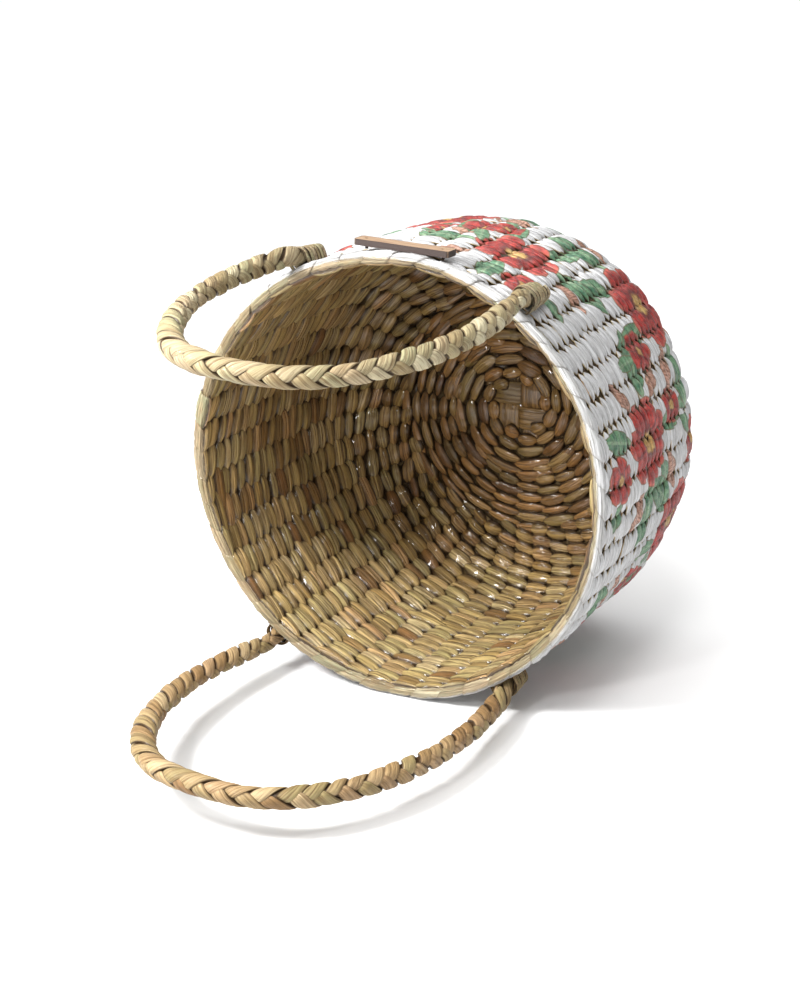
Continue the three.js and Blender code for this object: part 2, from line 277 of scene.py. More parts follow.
def joined(*values):
    return addNode("CombineXYZ", dict(enumerate(values))).outputs[0]


def mixStep(factor, first, second, blendType="MIX"):
    values = {0: factor, 6: first, 7: second}
    return addNode("Mix", values, data_type="RGBA", blend_type=blendType).outputs[2]


def laid(mask, share, below, above):
    return mixStep(times(mask, share), below, above)


def darkened(mask, share, color, dark):
    # darkest where the mask is low
    return laid(minus(1.0, mask), share, color, dark)


def softStep(value, low, high, start=0.0, end=1.0):
    values = dict(enumerate((value, low, high, start, end)))
    return addNode("MapRange", values, interpolation_type="SMOOTHSTEP").outputs[0]


def rampStep(factor, stops):
    node = addNode("ValToRGB", {0: factor})
    elements = node.color_ramp.elements
    while len(elements) < len(stops):
        elements.new(0.5)
    for element, (place, color) in zip(elements, stops):
        element.position = place
        element.color = (*color, 1)
    return node.outputs[0]


def noiseStep(vector, scale, detail=2.0, roughness=0.5):
    values = {"Vector": vector, "Scale": scale, "Detail": detail, "Roughness": roughness}
    return addNode("TexNoise", values).outputs[0]


def stretchedNoise(vector, scales, detail=2.0, roughness=0.5):
    return noiseStep(vectorStep("MULTIPLY", vector, scales), 1.0, detail, roughness)


def readLayer(tree, label):
    node = tree.nodes.new("ShaderNodeAttribute")
    node.attribute_name = label
    return node.outputs["Vector"]


def newGroup(name, inputs, outputs):
    tree = bpy.data.node_groups.new(name, "ShaderNodeTree")
    for direction, sockets in (("INPUT", inputs), ("OUTPUT", outputs)):
        for label, kind in sockets.items():
            tree.interface.new_socket(label, in_out=direction, socket_type="NodeSocket" + kind)
    return tree, tree.nodes.new("NodeGroupInput").outputs, tree.nodes.new("NodeGroupOutput").inputs


def useGroup(group, **values):
    return addNode("Group", values, node_tree=group).outputs


def newMaterial(name):
    material = bpy.data.materials.new(name)
    material.use_nodes = True
    tree = material.node_tree
    shader = next(node for node in tree.nodes if node.type == "BSDF_PRINCIPLED")
    return material, tree, shader


def addBump(shader, height, distance):
    # the coat lies smoother than what it covers
    for socket, share in (("Normal", 1.0), ("Coat Normal", 0.15)):
        bump = addNode("Bump", {"Strength": 1.0, "Distance": distance * share, "Height": height})
        feed(shader.inputs, {socket: bump.outputs[0]})


# shared effects; Strand is (along, across, tone) in metres, Wall is (arc, distance from the rim, crest), and
# a low crest marks a crease that is painted in shade

def makeGrassGroup():
    # lengthwise fibres, broad folds, soft blotches and specks of a blade of grass
    tree, enter, leave = newGroup(
        "grassBlade", {"Strand": "Vector"},
        {"Fibre": "Float", "Fold": "Float", "Blotch": "Float", "Speck": "Float"})
    tone = parts(enter["Strand"])[2]
    shifted = vectorStep("ADD", enter["Strand"], joined(tone, 0.0, 0.0))
    coarse = stretchedNoise(shifted, (45, 1300, 90), 3.0, 0.6)
    fine = stretchedNoise(shifted, (90, 4200, 130), 1.0)
    fibre = plus(times(coarse, 0.7), times(fine, 0.3))
    fold = stretchedNoise(shifted, (16, 480, 60), 2.5)
    blotch = stretchedNoise(shifted, (130, 260, 70))
    speck = stretchedNoise(shifted, (700, 1500, 70), 1.0)
    feed(leave, {
        "Fibre": softStep(fibre, 0.34, 0.55), "Fold": softStep(fold, 0.32, 0.54),
        "Blotch": softStep(blotch, 0.4, 0.7), "Speck": softStep(speck, 0.68, 0.74)})
    return tree


def makeLeafGroup():
    # a pointed leaf from its stalk end: half-width falls as 1 - t squared to both ends; Rib is its middle
    tree, enter, leave = newGroup(
        "printLeaf", {"Place": "Vector", "Stalk": "Vector", "Turn": "Float", "Size": "Vector"},
        {"Mask": "Float", "Rib": "Float", "Edge": "Float"})
    offset = vectorStep("SUBTRACT", enter["Place"], enter["Stalk"])
    x, y, _ = parts(turned(offset, times(enter["Turn"], -1.0)))
    length, width, _ = parts(enter["Size"])
    t = minus(times(mathStep("DIVIDE", x, length), 2.0), 1.0)
    room = times(width, minus(1.0, times(t, t)))
    side = mathStep("ABSOLUTE", y)
    inset = minus(room, side)
    feed(leave, {
        "Mask": softStep(inset, -0.0002, 0.0006), "Edge": softStep(inset, 0.0005, 0.0013, 1.0, 0.0),
        "Rib": softStep(side, 0.0004, 0.0016, 1.0, 0.0)})
    return tree


def makeBloomGroup():
    # an open flower: its edge is a circle with Petals waves, Depth runs from 0 in the middle to 1 at the edge
    tree, enter, leave = newGroup(
        "printBloom", {"Place": "Vector", "Middle": "Vector", "Radius": "Float", "Petals": "Float"},
        {"Mask": "Float", "Depth": "Float", "Fold": "Float", "Edge": "Float"})
    offset = vectorStep("SUBTRACT", enter["Place"], enter["Middle"])
    x, y, _ = parts(offset)
    halfTurns = times(times(mathStep("ARCTAN2", y, x), enter["Petals"]), 0.5)
    wave = mathStep("ABSOLUTE", mathStep("COSINE", halfTurns))
    edge = times(enter["Radius"], plus(0.72, times(mathStep("SQRT", wave), 0.28)))
    radius = vectorStep("LENGTH", offset)
    inset = minus(edge, radius)
    feed(leave, {
        "Mask": softStep(inset, -0.0003, 0.0006), "Edge": softStep(inset, 0.0005, 0.0015, 1.0, 0.0),
        "Depth": mathStep("DIVIDE", radius, edge, clamp=True), "Fold": softStep(wave, 0.05, 0.45)})
    return tree


# each bloom is its middle, radius and petals; each leaf or bud its stalk end, turn, length and half-width;
# each band its shift in cells, distance from the rim, size and turn
bouquet = {
    "cells": 6, "bands": ((0.18, 0.078, 1.0, 0.5), (0.68, 0.156, 1.12, 3.4)),
    "blooms": [((0.0, 0.004), 0.031, 7.0), ((0.046, -0.022), 0.017, 5.0), ((-0.043, 0.026), 0.014, 5.0)],
    "leaves": [
        ((0.018, 0.02), 0.75, (0.052, 0.0105)), ((-0.02, 0.018), 2.55, (0.044, 0.01)),
        ((-0.022, -0.014), 3.75, (0.05, 0.0105)), ((0.016, -0.02), 5.25, (0.04, 0.009)),
        ((0.052, -0.012), 0.35, (0.026, 0.006)), ((-0.05, 0.034), 2.2, (0.024, 0.0055)),
        ((-0.002, 0.03), 1.5, (0.03, 0.0075))],
    "buds": [
        ((0.03, 0.016), 0.3, (0.034, 0.0062)), ((-0.026, -0.004), 3.25, (0.036, 0.0066)),
        ((-0.004, -0.026), 4.55, (0.03, 0.006))],
}
inks = {
    "ground": (0.02, 0.1, 0.06), "touch": (0.03, 0.02, 0.015), "outline": (0.17, 0.085, 0.035),
    "green": ((0.025, 0.125, 0.065), (0.15, 0.3, 0.16)), "rib": (0.3, 0.42, 0.26),
    "tan": ((0.26, 0.12, 0.07), (0.56, 0.31, 0.23)),
    "red": ((0.25, 0.012, 0.012), (0.56, 0.04, 0.028)), "fold": (0.16, 0.008, 0.012),
    "lip": (0.66, 0.16, 0.11), "ring": (0.1, 0.012, 0.012),
    "heart": ((0.42, 0.2, 0.05), (0.62, 0.42, 0.14)),
}


def makeBouquetGroup(leafGroup, bloomGroup):
    # one spray of flowers, leaves and buds about the origin, in metres
    tree, enter, leave = newGroup("printBouquet", {"Place": "Vector"}, {"Color": "Color", "Mask": "Float"})
    place = enter["Place"]
    wash = softStep(noiseStep(place, 160.0, 3.0, 0.6), 0.34, 0.66)
    streak = softStep(stretchedNoise(place, (900, 220, 1)), 0.36, 0.64)
    touch = softStep(noiseStep(place, 520.0), 0.5, 0.62)
    color, mask = inks["ground"], 0.0

    def addShape(color, mask, shapeColor, shape):
        # one shape with dark touches and an outline, over what is there
        touched = laid(touch, 0.45, shapeColor, mixStep(0.75, shapeColor, inks["touch"]))
        outlined = laid(shape["Edge"], 0.75, touched, inks["outline"])
        return mixStep(shape["Mask"], color, outlined), mathStep("MAXIMUM", mask, shape["Mask"])

    green, tan, petal, heart = (
        mixStep(noise, *inks[label])
        for noise, label in ((wash, "green"), (streak, "tan"), (wash, "red"), (wash, "heart")))
    for label in ("leaves", "buds"):
        for stalk, turn, size in bouquet[label]:
            leaf = useGroup(leafGroup, Place=place, Stalk=(*stalk, 0), Turn=turn, Size=(*size, 0))
            leafColor = laid(leaf["Rib"], 0.6, green, inks["rib"]) if label == "leaves" else tan
            color, mask = addShape(color, mask, leafColor, leaf)
    for middle, radius, petals in bouquet["blooms"]:
        bloom = useGroup(bloomGroup, Place=place, Middle=(*middle, 0), Radius=radius, Petals=petals)
        depth = bloom["Depth"]
        red = laid(bloom["Fold"], 0.8, inks["fold"], petal)
        red = laid(softStep(depth, 0.8, 0.97), 0.5, red, inks["lip"])
        red = laid(softStep(depth, 0.3, 0.42, 1.0, 0.0), 0.8, red, inks["ring"])
        red = mixStep(softStep(depth, 0.18, 0.3, 1.0, 0.0), red, heart)
        color, mask = addShape(color, mask, red, bloom)
    feed(leave, {"Color": color, "Mask": mask})
    return tree


def makePrintGroup(bouquetGroup):
    # the spray repeated round the wall in two staggered bands, sized by its band and turned by its cell
    tree, enter, leave = newGroup("floralPrint", {"Wall": "Vector"}, {"Color": "Color", "Mask": "Float"})
    arc, down, _ = parts(enter["Wall"])
    cell = 2 * math.pi * basket["bellyRadius"] / bouquet["cells"]
    sprays = []
    for shift, middle, size, spin in bouquet["bands"]:
        count = plus(mathStep("DIVIDE", arc, cell), shift)
        local = times(minus(mathStep("FRACT", count), 0.5), cell / size)
        height = mathStep("DIVIDE", minus(down, middle), size)
        sway = mathStep("SINE", times(mathStep("FLOOR", count), 2.4))
        angle = plus(times(sway, 0.45), spin)
        sprays.append(useGroup(bouquetGroup, Place=turned(joined(local, height, 0.0), angle)))
    first, second = sprays
    feed(leave, {
        "Color": mixStep(second["Mask"], first["Color"], second["Color"]),
        "Mask": mathStep("MAXIMUM", first["Mask"], second["Mask"])})
    return tree


grassGroup = makeGrassGroup()
printGroup = makePrintGroup(makeBouquetGroup(makeLeafGroup(), makeBloomGroup()))

# colours of grass by tone
straw = {
    "inside": [
        (0.0, (0.27, 0.132, 0.04)), (0.1, (0.42, 0.285, 0.1)), (0.24, (0.55, 0.415, 0.163)),
        (0.38, (0.69, 0.495, 0.218)), (0.52, (0.45, 0.38, 0.16)), (0.64, (0.62, 0.475, 0.208)),
        (0.76, (0.665, 0.408, 0.186)), (0.88, (0.525, 0.438, 0.195)), (1.0, (0.77, 0.61, 0.325))],
    # the base's tones are darker and browner than the wall's: partly its own grass and partly painted shade
    # deep in the basket
    "base": [
        (0.0, (0.115, 0.048, 0.012)), (0.16, (0.265, 0.13, 0.036)), (0.34, (0.4, 0.205, 0.06)),
        (0.5, (0.185, 0.13, 0.04)), (0.66, (0.35, 0.165, 0.048)), (0.82, (0.25, 0.175, 0.058)),
        (1.0, (0.45, 0.27, 0.096))],
    "braid": [
        (0.0, (0.275, 0.22, 0.115)), (0.28, (0.362, 0.312, 0.178)), (0.48, (0.394, 0.314, 0.196)),
        (0.68, (0.302, 0.294, 0.166)), (0.84, (0.362, 0.28, 0.162)), (1.0, (0.476, 0.43, 0.284))],
    "lowerBraid": [
        (0.0, (0.21, 0.12, 0.048)), (0.24, (0.288, 0.19, 0.085)), (0.44, (0.372, 0.262, 0.135)),
        (0.64, (0.265, 0.216, 0.094)), (0.82, (0.362, 0.236, 0.123)), (1.0, (0.428, 0.326, 0.18))],
    # painted shade: the first colour here is the shade painted into creases
    "deep": (0.04, 0.021, 0.008), "line": (0.13, 0.075, 0.03), "blush": (0.47, 0.27, 0.135),
}


def startGrass(name, stops, lines, blush):
    # tone picks the blade's colour, blotches warm it, fibres darken it in lines, and folds darken it in lines
    # of painted shade along their valleys
    material, tree, shader = newMaterial(name)
    strand = readLayer(tree, "strand")
    blade = useGroup(grassGroup, Strand=strand)
    color = rampStep(parts(strand)[2], stops)
    color = laid(blade["Blotch"], blush, color, straw["blush"])
    color = darkened(blade["Fibre"], lines, color, straw["line"])
    # painted shade in the valleys of the blade's folds
    color = darkened(blade["Fold"], lines * 0.8, color, straw["line"])
    return material, shader, blade, color, readLayer(tree, "wall")


def finishGrass(shader, blade, bump, rough, sockets):
    # rougher between the fibres; the height is broad folds with fine fibres on them
    feed(shader.inputs, {"Roughness": softStep(blade["Fibre"], 0.0, 1.0, *rough), **sockets})
    addBump(shader, plus(times(blade["Fold"], 0.65), times(blade["Fibre"], 0.35)), bump)


def sidedness(arc, turn):
    # 1 towards one side of the round and -1 at the opposite one
    return mathStep("COSINE", plus(mathStep("DIVIDE", arc, basket["bellyRadius"]), turn))


# painted shade: these settings paint dark creases, and darken and brown the inside far from the rim and
# towards the upper left, where it lies in shade
bareLook = {
    "lines": 0.8, "blush": 0.22, "deep": (0.46, 0.92), "rough": (0.62, 0.42), "coat": 0.8, "bump": 0.0014,
    "aged": 0.0, "agedDown": (0.1, 0.26), "agedTurn": 0.9, "agedSide": (-0.6, 0.8, 0.0, 0.62),
    "agedColor": (0.7, 0.56, 0.4),
}


def makeBareMaterial(name, stops, **changes):
    # bare grass, dark in its creases as painted shade; painted shade also makes it darker and browner far
    # from the rim and towards one side, the upper left
    look = {**bareLook, **changes}
    material, shader, blade, color, wall = startGrass(name, stops, look["lines"], look["blush"])
    arc, down, crest = parts(wall)
    # painted shade: darker and browner deep inside and towards the upper left
    sided = softStep(sidedness(arc, look["agedTurn"]), *look["agedSide"])
    shaded = mathStep("MAXIMUM", softStep(down, *look["agedDown"]), sided)
    color = mixStep(times(shaded, look["aged"]), color, look["agedColor"], "MULTIPLY")
    # painted shade: where the crest is low, between and under the strands, the grass turns almost to the
    # crease shade colour
    color = laid(softStep(crest, *look["deep"], 1.0, 0.0), 0.94, color, straw["deep"])
    color = laid(blade["Speck"], 0.35, color, straw["line"])
    finishGrass(shader, blade, look["bump"], look["rough"], {
        "Base Color": color, "Coat Weight": look["coat"], "Coat Roughness": 0.04, "Specular IOR Level": 0.25})
    return material


def makePaintedMaterial():
    # white paint over the crests, bare grass in the gaps with painted shade in its deepest creases, and the
    # print on the paint
    material, shader, blade, bare, wall = startGrass("painted_grass", straw["inside"], 0.5, 0.3)
    arc, down, crest = parts(wall)
    patch = noiseStep(joined(arc, down, 0.0), 260.0, 3.0, 0.6)
    level = plus(varied(crest, patch, 0.4), times(blade["Fibre"], 0.1))
    cover = softStep(level, 0.27, 0.6)
    paint = mixStep(blade["Fibre"], (0.35, 0.35, 0.35), (0.63, 0.63, 0.64))
    paint = mixStep(softStep(patch, 0.35, 0.65, 0.35, 0.0), paint, (0.4, 0.4, 0.39))
    # painted shade in the valleys of the paint's folds
    paint = darkened(blade["Fold"], 0.45, paint, (0.36, 0.34, 0.33))
    sheet = useGroup(printGroup, Wall=wall)
    inked = darkened(blade["Fibre"], 0.35, sheet["Color"], (0.05, 0.03, 0.02))
    inked = mixStep(softStep(patch, 0.35, 0.7, 0.0, 0.1), inked, (0.52, 0.47, 0.42))
    paint = mixStep(sheet["Mask"], paint, inked)
    cover = mathStep("MAXIMUM", cover, times(sheet["Mask"], 0.9))
    # painted shade: the bare grass goes dark in the deepest creases
    bare = laid(softStep(crest, 0.0, 0.3, 1.0, 0.0), 0.85, bare, straw["deep"])
    finishGrass(shader, blade, 0.0009, (0.62, 0.46), {
        "Base Color": mixStep(cover, bare, paint), "Coat Weight": 0.1, "Coat Roughness": 0.3})
    return material


braidLook = {"lines": 0.7, "deep": (0.3, 0.72), "rough": (0.7, 0.5), "coat": 0.05, "bump": 0.0006}
insideGrass = makeBareMaterial("varnished_grass", straw["inside"], deep=(0.54, 1.0), aged=0.8)
baseGrass = makeBareMaterial("base_grass", straw["base"], deep=(0.4, 0.9), bump=0.001)
# painted shade: the stakes show only through the gaps between the passes, so they take the darkest tones and
# a strong crease darkening
stakeGrass = makeBareMaterial(
    "stake_grass", straw["inside"][:3], deep=(0.2, 0.9), coat=0.05, rough=(0.8, 0.6))
paleBraid = makeBareMaterial("pale_braid_grass", straw["braid"], blush=0.12, **braidLook)
brownBraid = makeBareMaterial("brown_braid_grass", straw["lowerBraid"], blush=0.18, **braidLook)
outsideGrass = makePaintedMaterial()
print("stage: grass materials")


# the wall's middle surface, from the rim over the shoulder to the middle of the base

def wallCurve():
    # outside outline: a slightly drawn-in lip, a straight belly, a superellipse shoulder and the flat base;
    # the middle surface lies half a wall inside it
    b = basket
    lipY = np.linspace(0, b["bellyEnd"], 160)
    lipR = b["rimRadius"] + (b["bellyRadius"] - b["rimRadius"]) * np.sin(
        np.clip(lipY / b["bellyStart"], 0, 1) * np.pi / 2)
    turn = np.linspace(0, np.pi / 2, 260)[1:]
    bend = 2 / b["shoulderPower"]
    shoulderR = b["baseRadius"] + (b["bellyRadius"] - b["baseRadius"]) * np.abs(np.cos(turn)) ** bend
    shoulderY = b["bellyEnd"] + (b["depth"] - b["bellyEnd"]) * np.sin(turn) ** bend
    flatR = np.linspace(b["baseRadius"], 0, 140)[1:]
    outside = np.concatenate([
        asVectors(lipR, lipY), asVectors(shoulderR, shoulderY), asVectors(flatR, b["depth"])])
    tangent = unit(np.gradient(outside, axis=0))
    normal = np.stack([tangent[:, 1], -tangent[:, 0]], 1)
    middle = outside - normal * b["wall"] / 2
    return arcLength(middle), middle, normal


curveArc, curveMiddle, curveNormal = wallCurve()
baseTurn = np.interp(basket["baseRadius"], curveMiddle[::-1, 0], curveArc[::-1])
wallEnd = float(baseTurn) + basket["pastTurn"]


def wallRadius(down):
    return np.interp(down, curveArc, curveMiddle[:, 0])


def safeRadius(down):
    return np.maximum(wallRadius(down), basket["leastRadius"])


def onWall(theta, down, out):
    # a point by its angle from the top, its distance from the rim along the wall and its height off the
    # middle surface, which is a little uneven
    out = out + 0.0005 * np.sin(3 * theta + 40 * down) + 0.0004 * np.sin(7 * theta - 55 * down)
    middle, normal = (sampled(down, curveArc, curve) for curve in (curveMiddle, curveNormal))
    radius, y = np.moveaxis(middle + out[..., None] * normal, -1, 0)
    return asVectors(
        radius * np.sin(theta), y + mouthY, radius * np.cos(theta) + axisZ)


# stitches: where a weft strand passes over a stake

stitch = {
    "along": np.sin(np.linspace(-1, 1, 9) * np.pi / 2)[:, None],
    "across": np.array([-1.0, -0.62, 0.0, 0.62, 1.0, 0.0]),
    "height": np.array([0.0, 0.72, 1.0, 0.72, 0.0, -0.6]),
    "lit": np.array([0.0, 0.78, 1.0, 0.78, 0.0, 0.0]),
    "tip": 0.04, "root": 0.0002, "front": 0.0008, "toneShift": 3.1,
}


def makeStitches(blades, side, blunt):
    # boat-shaped blades on the wall: width falls to a point at both ends, where the strand dives between
    # the stakes
    s = {key: column(values) for key, values in blades.items()}
    u = stitch["along"]
    wide = stitch["tip"] + (1 - stitch["tip"]) * (1 - np.abs(u) ** blunt)
    arch = 1 - np.abs(u) ** 3.5
    full = 1 - np.abs(u) ** 3
    along = u * s["length"]
    across = stitch["across"] * s["width"] * wide
    place = np.maximum(s["down"] + s["lean"] * u + across, stitch["front"])
    angle = s["theta"] + along / safeRadius(s["down"])
    middle = stitch["root"] + (s["rise"] - stitch["root"]) * arch
    out = middle + s["thick"] * (0.2 + 0.8 * full) * stitch["height"] + s["tilt"] * across
    # crest falls to nothing at a stitch's edges and tips, where the materials paint shade between the
    # stitches
    crest = np.clip(2.2 * full, 0, 1) * stitch["lit"]
    strand = asVectors(along, across + s["tone"] * stitch["toneShift"], s["tone"])
    wall = asVectors(angle * basket["bellyRadius"], place, crest)
    return tubeField(onWall(angle, place, side * out), strand, wall)


weave = {
    "columns": 48, "rise": 0.0014, "shingle": 0.14, "longer": (0.035, 1.45, 0.0004),
    "outer": {
        "start": 0.0046, "pitch": 0.0076, "reach": 0.56, "fill": 0.58, "blunt": 2.1, "thick": 0.0021,
        "lean": 0.0012},
    "inner": {
        "start": -0.0009, "pitch": 0.0102, "reach": 0.73, "fill": 0.68, "blunt": 2.4, "thick": 0.0033,
        "lean": 0.0028},
    "base": {"pitch": 0.0084, "reach": 0.66, "fill": 0.6, "blunt": 2.5, "thick": 0.0027, "lean": 0.0012},
}


def weaveRows(rng, columns, first, rows, side, pitch, spec):
    # a field of stitches: neighbours in the next column stand half a pitch apart, and a few are longer
    count = columns * rows
    columnIndex, row = np.divmod(np.arange(count), rows)
    step = 2 * np.pi / columns
    inside = int(side < 0)
    half = 0.5 * ((columnIndex + inside) % 2)
    down = first + (row + half) * pitch + rng.normal(0, 0.055, count) * pitch
    theta = (columnIndex + 0.5 * inside) * step + rng.normal(0, 0.018, count) * step
    length = spec["reach"] * step * wallRadius(down) * rng.normal(1, 0.06, count)
    share, stretch, lift = weave["longer"]
    longer = rng.random(count) < share
    return makeStitches({
        "down": down, "theta": theta, "length": np.where(longer, length * stretch, length),
        "width": pitch * spec["fill"] * np.clip(rng.normal(1, 0.11, count), 0.72, 1.3),
        "rise": weave["rise"] + rng.normal(0, 0.00026, count) + np.where(longer, lift, 0),
        "thick": spec["thick"] * np.clip(rng.normal(1, 0.16, count), 0.6, 1.4),
        "lean": spec["lean"] * rng.normal(1, 0.35, count),
        "tilt": weave["shingle"] + rng.normal(0, 0.08, count),
        "tone": np.clip(rng.random(count) + rng.normal(0, 0.05, count), 0, 1),
    }, side, spec["blunt"])


def makeWallWeave():
    for name, side, spec, material, slot, node in (
            ("outer_passes", 1, weave["outer"], outsideGrass, "painted_grass", "outer_weave"),
            ("inner_passes", -1, weave["inner"], insideGrass, "bare_grass", "inner_weave")):
        rng = np.random.default_rng(12 + side)
        span = wallEnd - spec["start"]
        rows = round(span / spec["pitch"])
        field = weaveRows(rng, weave["columns"], spec["start"], rows, side, span / rows, spec)
        makePiece(name, *field, material, slot, [node])


# each band is its stakes and the radius at which it ends
base = {"bands": ((24, 0.05), (12, 0.0215))}


def makeBaseWeave():
    # rounds of the base; every second stake ends where the rounds get too tight for it, and each band of
    # rounds starts under the last half-pitch of the one before
    last, place, bands = curveArc[-1], wallEnd, []
    for columns, inner in base["bands"]:
        rows = max(1, round((last - inner - place) / weave["base"]["pitch"]))
        pitch = (last - inner - place) / rows
        bands.append((columns, place - 0.5 * pitch, rows + 1, pitch))
        place = last - inner
    for name, side, seed in (("base_inside_rounds", -1, 21), ("base_outside_rounds", 1, 22)):
        rng = np.random.default_rng(seed)
        fields = [
            weaveRows(rng, columns, first, rows, side, pitch, weave["base"])
            for columns, first, rows, pitch in bands]
        makePiece(name, *joinFields(fields), baseGrass, "bare_grass", ["base_weave"] if side < 0 else [])


makeWallWeave()
makeBaseWeave()


# stakes between the inside and the outside passes

stakes = {
    "count": 48, "nodes": 24, "share": 0.95, "halfThick": 0.0004, "stations": 72, "start": 0.003,
    "shortEnd": 0.004, "end": 0.0165, "widens": (0.012, 0.016), "crest": 0.3,
}


def makeStakes():
    # flat strips along the wall's middle surface from the rim, every second one on to the base's middle; each
    # is as wide as its share of the round, which doubles once the others have ended
    count, start = stakes["count"], stakes["start"]
    theta = column(np.arange(count)) * 2 * np.pi / count
    goesOn = column(np.arange(count) % 2 == 0)
    ends = np.where(goesOn, curveArc[-1] - stakes["end"], wallEnd + stakes["shortEnd"])
    down = start + (ends - start) * np.linspace(0, 1, stakes["stations"])[:, None]
    before, over = stakes["widens"]
    wider = 1 + np.clip((down - wallEnd + before) / over, 0, 1)
    half = stakes["share"] * np.pi / count * np.where(goesOn, wider, 1.0)
    angle = theta + np.array([-1, -1, 1, 1]) * half
    points = onWall(angle, down, np.array([-1, 1, 1, -1]) * stakes["halfThick"])
    tone = column(np.random.default_rng(31).random(count))
    strand = asVectors(down, (angle - theta) * safeRadius(down), tone)
    # painted shade: one low crest for the whole stake darkens it as though in shade
    wall = asVectors(angle * basket["bellyRadius"], down, stakes["crest"])
    makePiece("stakes", *tubeField(points, strand, wall), stakeGrass, "bare_grass",
              ["stake_%02d" % (i + 1) for i in range(stakes["nodes"])])


makeStakes()


# plaited centre of the base

plait = {
    "half": 0.0172, "tuck": 0.01, "pitch": 0.018, "width": 0.0172, "thick": 0.0011, "wave": 0.0013,
    "crossing": 0.0022, "dive": (0.004, 0.008), "stations": 33, "around": 12, "crest": 0.8,
}


def makePlait():
    # four flat strands: each is over one cross strand and under the next, its height a smooth step along it
    # and its ends go on under the rounds
    along = np.linspace(-1, 1, plait["stations"])[:, None] * (plait["half"] + plait["tuck"])
    before, over = plait["dive"]
    under = np.clip((np.abs(along) - plait["half"] + before) / over, 0, 1)
    turn = fullTurn(plait["around"])
    z = signedPower(np.cos(turn), 0.5) * plait["width"] / 2 + plait["pitch"] / 2
    lift = signedPower(np.sin(turn), 0.8) * plait["thick"] * (1 + 0.15 * np.cos(6 * turn))
    out = -plait["wave"] * np.tanh(along / plait["crossing"]) * (1 - under) + lift * (1 - 0.5 * under)
    y = mouthY + basket["depth"] - basket["wall"] / 2 - out
    rng = np.random.default_rng(33)
    points, strand = [], []
    for quarter in range(4):
        c, s = math.cos(quarter * math.pi / 2), math.sin(quarter * math.pi / 2)
        points.append(asVectors(along * c + z * s, y, axisZ - along * s + z * c))
        strand.append(asVectors(along, z, rng.uniform(0.3, 0.8)))
    points, strand = np.array(points), np.array(strand)
    wall = asVectors(points[..., 0], points[..., 1], plait["crest"])
    makePiece("base_plait", *tubeField(points, strand, wall), baseGrass, "bare_grass",
              ["plait_strand_%d" % (i + 1) for i in range(4)])


makePlait()


# folded border along the mouth; the section is (off the wall's middle, behind the mouth)

rim = {
    "folds": 48, "stations": 9, "overlap": 1.24, "slant": -0.6, "lift": 0.0009, "swell": 0.0008,
    "thick": 0.0009, "radius": 0.147, "middle": (0.0015, 0.0026),
    "section": np.array([
        [2.5, 4.8], [3.7, 3.8], [4.1, 2.5], [3.9, 1.3], [3.1, 0.5], [2.0, 0.0], [0.9, 0.0], [0.0, 0.4],
        [-0.7, 1.1], [-1.1, 2.0]]) / 1000,
}


def makeRimMaterial():
    # the fold is painted on the outside and over part of its front, and bare straw towards the inside; its
    # ends and edges are darkened as painted shade where the folds lap and tuck in
    material, shader, blade, bare, wall = startGrass("rim_grass", straw["braid"], 0.5, 0.3)
    arc, over, crest = parts(wall)
    patch = noiseStep(joined(arc, over, 0.0), 150.0, 3.0, 0.65)
    limit = varied(plus(0.48, times(sidedness(arc, -0.9), 0.18)), patch, 0.55)
    cover = softStep(minus(limit, over), -0.02, 0.03)
    paint = mixStep(blade["Fibre"], (0.38, 0.375, 0.36), (0.6, 0.6, 0.6))
    # painted shade in the valleys of the paint's folds
    paint = darkened(blade["Fold"], 0.5, paint, (0.34, 0.32, 0.3))
    # painted shade at the fold's ends and edges, where one fold laps over the next and the tucked end meets
    # the weave
    seamShade = softStep(varied(crest, patch, 0.8), 0.0, 0.4, 1.0, 0.0)
    finishGrass(shader, blade, 0.0013, (0.62, 0.46), {
        "Base Color": laid(seamShade, 0.42, mixStep(cover, bare, paint), straw["line"]), "Coat Weight": 0.12})
    return material


